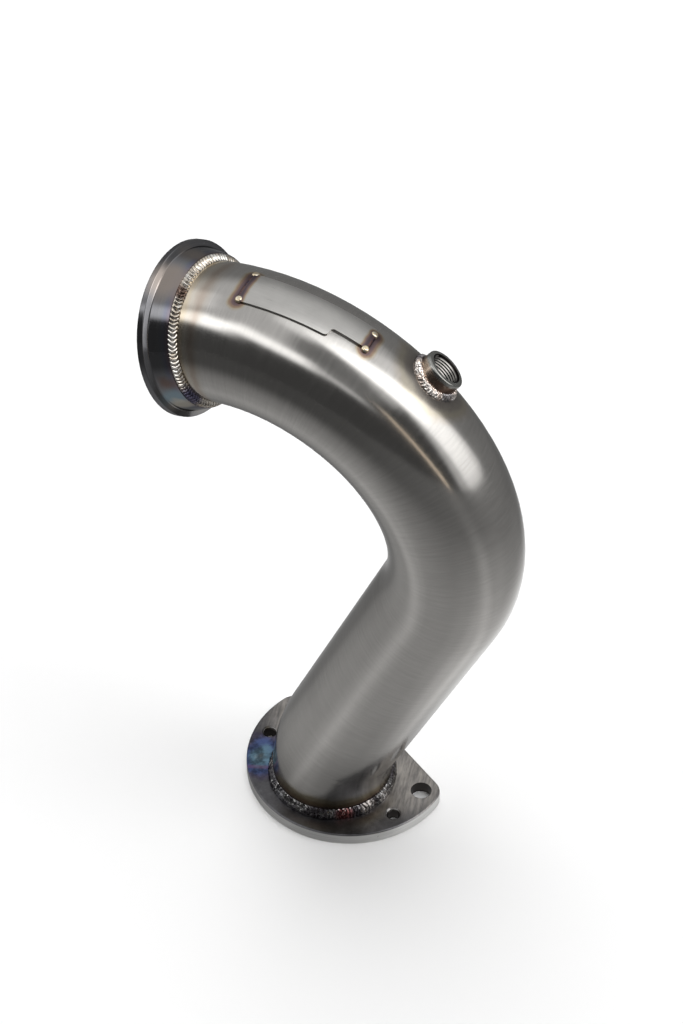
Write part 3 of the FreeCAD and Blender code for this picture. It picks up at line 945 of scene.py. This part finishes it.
bossOutside, bossInside = bossMetal(bossLook), boreMetal(bossLook)
beads = {name: beadMetal(name, look) for name, look in beadLooks.items()}
dress(tubeMetal(tubeLook), "bent_tube")
dress(turnedMetal(vbandLook), "inlet_flange")
dress(linishedMetal(outletLook), "outlet_flange")
dress(plateMetal(plateLook), "face_plate")
dress(beads["tackBead"], "plate_tack_1", "plate_tack_2", "plate_tack_3", "plate_tack_4")
dress(beads["burntBead"], "plate_inlet_bead", "plate_outlet_bead")
dress(beads["inletBead"], "inlet_weld")
dress(beads["outletBead"], "outlet_weld")
dress(beads["bossBead"], "boss_weld")
dress(bossOutside, "sensor_boss")
print("materials on the nodes")

sensorBoss = joined("sensorBoss", bossBody(bossOutside, bossInside), bossThread(bossInside))
inletBead = weldBead("inletWeldBead", openFace, ringSection, inletWeldLook, beads["inletBead"])
outletBead = weldBead("outletWeldBead", Matrix(), ringSection, outletWeldLook, beads["outletBead"])
bossBead = weldBead("bossWeldBead", bossFrame, bossSection, bossWeldLook, beads["bossBead"])
for piece, node, slotName in ((sensorBoss, "sensor_boss", "boss"), (inletBead, "inlet_weld", "weld"),
                              (outletBead, "outlet_weld", "weld"), (bossBead, "boss_weld", "weld")):
    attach(piece, "root")
    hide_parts(node)
print("boss and welds made")

# studio: a pale floor, a ring of grey card on it for the metal to mirror, and soft panels all round
studio = {"floorColour": (0.96, 0.96, 0.96), "floorRadius": 14.0, "floorDrop": 0.2 * mm, "floorRoughness": 0.9,
          "wallFoot": -0.2, "wallHeight": 12.0, "wallInset": 0.2, "roundSteps": 96, "walls": 0.72,
          "overhead": 1.35, "overheadBand": (76, 84), "warm": (1.0, 0.80, 0.58), "worldOnFloor": 0.77}
lampLook = {"azimuth": 41.0, "elevation": 68.0, "angle": 60.0, "strength": 1.5}
# Soft panels of sky, in degrees: lean, curve and slope tip or bend one. The last is the warm one.
measures = ("azimuth", "halfWidth", "elevation", "halfHeight", "edge", "edgeUp", "level", "lean", "curve",
            "slope")
panels = [dict(zip_longest(measures, row, fillvalue=0)) for row in (
    (16, 60, 4, 32, 20, 22, 0.27),
    (-138, 31, 57, 18, 14, 8, 0.24),
    (-142, 52, 8, 32, 8, 8, 0.07),
    (162, 24, 4, 27, 10, 10, 0.07),
    (106, 17, 44, 9, 14, 10, 1.3),
    (178, 26, 46, 6, 16, 8, 1.8, 0, 0, 0.1),
    (145, 14, 38, 8, 10, 7, 2.1, 0, 0, -0.25),
    (-145, 13, 38, 3.5, 14, 5, 0.75, 0, 0, 0.42),
    (-40, 16, 73, 9, 10, 8, 1.7),
    (-37, 15, 47, 12, 12, 12, 1.1),
    (-86.3, 18, 66, 55, 7, 62, 2.05, 0.766, 0.0058),
    (-65, 13, 66, 55, 9, 62, 2.05),
    (-75, 14, 53, 20, 12, 14, 3.4, 0.45),
    (-112.5, 1.2, 16, 19, 1.8, 8, 1.7, 0.51))]
# The card's level by direction round the foot, a whole turn from -180 degrees, then its share by distance,
# and the level by direction far out.
cardTurn = [(0.000, 0.52), (0.055, 0.43), (0.140, 0.42), (0.195, 0.48), (0.250, 0.66), (0.305, 0.68),
            (0.345, 0.60), (0.400, 0.56), (0.455, 0.46), (0.510, 0.42), (0.570, 0.40), (0.610, 0.34),
            (0.670, 0.27), (0.735, 0.28), (0.790, 0.41), (0.840, 0.45), (0.900, 0.44), (0.950, 0.52),
            (1.000, 0.52)]
cardReach = [(0.023, 0.40), (0.030, 0.62), (0.040, 0.85), (0.055, 1.00), (0.120, 0.95), (0.160, 0.82),
             (0.220, 0.66), (0.300, 0.55), (0.400, 0.44), (0.600, 0.32), (1.000, 0.18)]
cardFar = [(0.0, 0.09), (0.22, 0.20), (0.33, 0.27), (0.50, 0.25), (0.63, 0.27), (0.78, 0.20), (0.89, 0.09),
           (1.0, 0.09)]
card = {"innerRadius": 0.046, "outerRadius": 13.8, "shadeReach": 2.0, "lift": 0.0004,
        "spot": (0.20, -0.03, 0.0), "spotShare": (0.26, 0.0, 0.0, 0.85), "farShare": (0.22, 0.60)}


def panelMask(build, ray, elevation, panel):
    # 1 inside a soft-edged panel of sky, 0 outside
    x, y = build.split(ray)[:2]
    cosine, sine = math.cos(math.radians(panel["azimuth"])), math.sin(math.radians(panel["azimuth"]))
    ahead = build.plus(build.times(x, cosine), build.times(y, sine))
    across = build.minus(build.times(y, cosine), build.times(x, sine))
    aside = build.degrees(build.angle(across, ahead))
    above = build.minus(elevation, panel["elevation"])
    bent = build.timesPlus(above, panel["curve"], panel["lean"])
    sideways = build.timesPlus(above, bent, aside)
    upwards = build.timesPlus(aside, panel["slope"], above)

    def within(distance, half, edge):
        return build.spread(build.absolute(distance), half + edge / 2, half - edge / 2)

    return build.times(within(sideways, panel["halfWidth"], panel["edge"]),
                       within(upwards, panel["halfHeight"], panel["edgeUp"]))


def studioAround():
    world = bpy.data.worlds.new("studioAround")
    world.use_nodes = True
    world.node_tree.nodes.clear()
    build = NodeBuilder(world.node_tree)
    ray = build.vector("NORMALIZE", build.add("ShaderNodeTexCoord").outputs["Generated"])
    elevation = build.degrees(build.math("ARCSINE", build.split(ray)[2]))
    top = build.spread(elevation, *studio["overheadBand"])
    level = build.timesPlus(top, studio["overhead"] - studio["walls"], studio["walls"])
    for panel in panels:
        mask = panelMask(build, ray, elevation, panel)
        level = build.timesPlus(mask, build.minus(panel["level"], level), level)
    light = build.shaded(build.mix(mask, (1.0, 1.0, 1.0), studio["warm"]), level)
    # the lamp gives the rest of the floor's light, and its shadow
    onFloor = build.add("ShaderNodeLightPath").outputs["Is Diffuse Ray"]
    strength = build.timesPlus(onFloor, studio["worldOnFloor"] - 1.0, 1.0)
    background = build.add("ShaderNodeBackground", {"Color": light, "Strength": strength})
    build.add("ShaderNodeOutputWorld", {0: background.outputs[0]})
    scene.world = world


def circleOf(mesh, radius, height=0.0):
    circle = bmesh.ops.create_circle(mesh, radius=radius, segments=studio["roundSteps"])["verts"]
    for vertex in circle:
        vertex.co.z = height
    return circle


def bandBetween(mesh, first, second):
    for step in range(len(first)):
        after = (step + 1) % len(first)
        mesh.faces.new((first[step], first[after], second[after], second[step]))


def hideFrom(piece, *kinds):
    for kind in kinds:
        setattr(piece, "visible_" + kind, False)


def paleFloor():
    mesh = bmesh.new()
    mesh.faces.new(circleOf(mesh, studio["floorRadius"]))
    material, build, shader = newMaterial("paleFloor", "ShaderNodeBsdfPrincipled")
    build.feed(shader.inputs["Base Color"], (*studio["floorColour"], 1))
    build.feed(shader.inputs["Roughness"], studio["floorRoughness"])
    build.feed(shader.inputs["Specular IOR Level"], 0.0)
    floor = meshPiece("floor", mesh, [material])
    floor.location.z = -studio["floorDrop"]


def paleBackdrop():
    # a plain wall far behind, seen only by the camera, so that low views end in the same white as the floor
    mesh = bmesh.new()
    radius = studio["floorRadius"] - studio["wallInset"]
    foot, top = [circleOf(mesh, radius, studio[end]) for end in ("wallFoot", "wallHeight")]
    bandBetween(mesh, foot, top)
    material = newMaterial("paleBackdrop", "ShaderNodeEmission")[0]
    wall = meshPiece("backdrop", mesh, [material])
    hideFrom(wall, "diffuse", "glossy", "transmission", "shadow")


def greyCard():
    # seen only in the metal
    mesh = bmesh.new()
    bandBetween(mesh, circleOf(mesh, card["innerRadius"]), circleOf(mesh, card["outerRadius"]))
    material, build, glow = newMaterial("greyCard", "ShaderNodeEmission")
    here = build.here()
    x, y = build.split(here)[:2]
    reach = build.over(build.vector("LENGTH", here), card["shadeReach"])
    turn = build.timesPlus(build.angle(y, x), 0.5 / math.pi, 0.5)
    spot = build.spread(build.distanceTo(card["spot"]), *card["spotShare"])
    level = build.plus(build.ramp(turn, cardTurn), spot)
    level = build.times(level, build.ramp(reach, cardReach, "LINEAR"))
    level = picked(build, build.spread(reach, *card["farShare"]), build.ramp(turn, cardFar), level)
    build.feed(glow.inputs["Strength"], level)
    ring = meshPiece("greyCard", mesh, [material])
    ring.location.z = card["lift"]
    hideFrom(ring, "camera", "diffuse", "shadow", "transmission")


def turned(*degrees):
    return Euler([math.radians(angle) for angle in degrees], "XYZ")


def softLamp():
    # a wide, even light from behind, which casts the object's soft shadow to the front
    data = bpy.data.lights.new("softLamp", "SUN")
    data.energy = lampLook["strength"]
    data.angle = math.radians(lampLook["angle"])
    lamp = placed("softLamp", data)
    lamp.rotation_euler = turned(90 - lampLook["elevation"], 0, 90 + lampLook["azimuth"])
    hideFrom(lamp, "glossy")


paleFloor()
paleBackdrop()
greyCard()
softLamp()
studioAround()

viewpoint = {"place": (-0.81884, -0.72282, 1.26724), "turn": (46.62, 0.0, -48.87), "lens": 91.26}
cameraData = bpy.data.cameras.new("camera")
cameraData.lens = viewpoint["lens"]
camera = placed("camera", cameraData)
camera.location = viewpoint["place"]
camera.rotation_euler = turned(*viewpoint["turn"])
scene.camera = camera
scene.view_settings.view_transform = "Standard"
print("studio and camera ready")
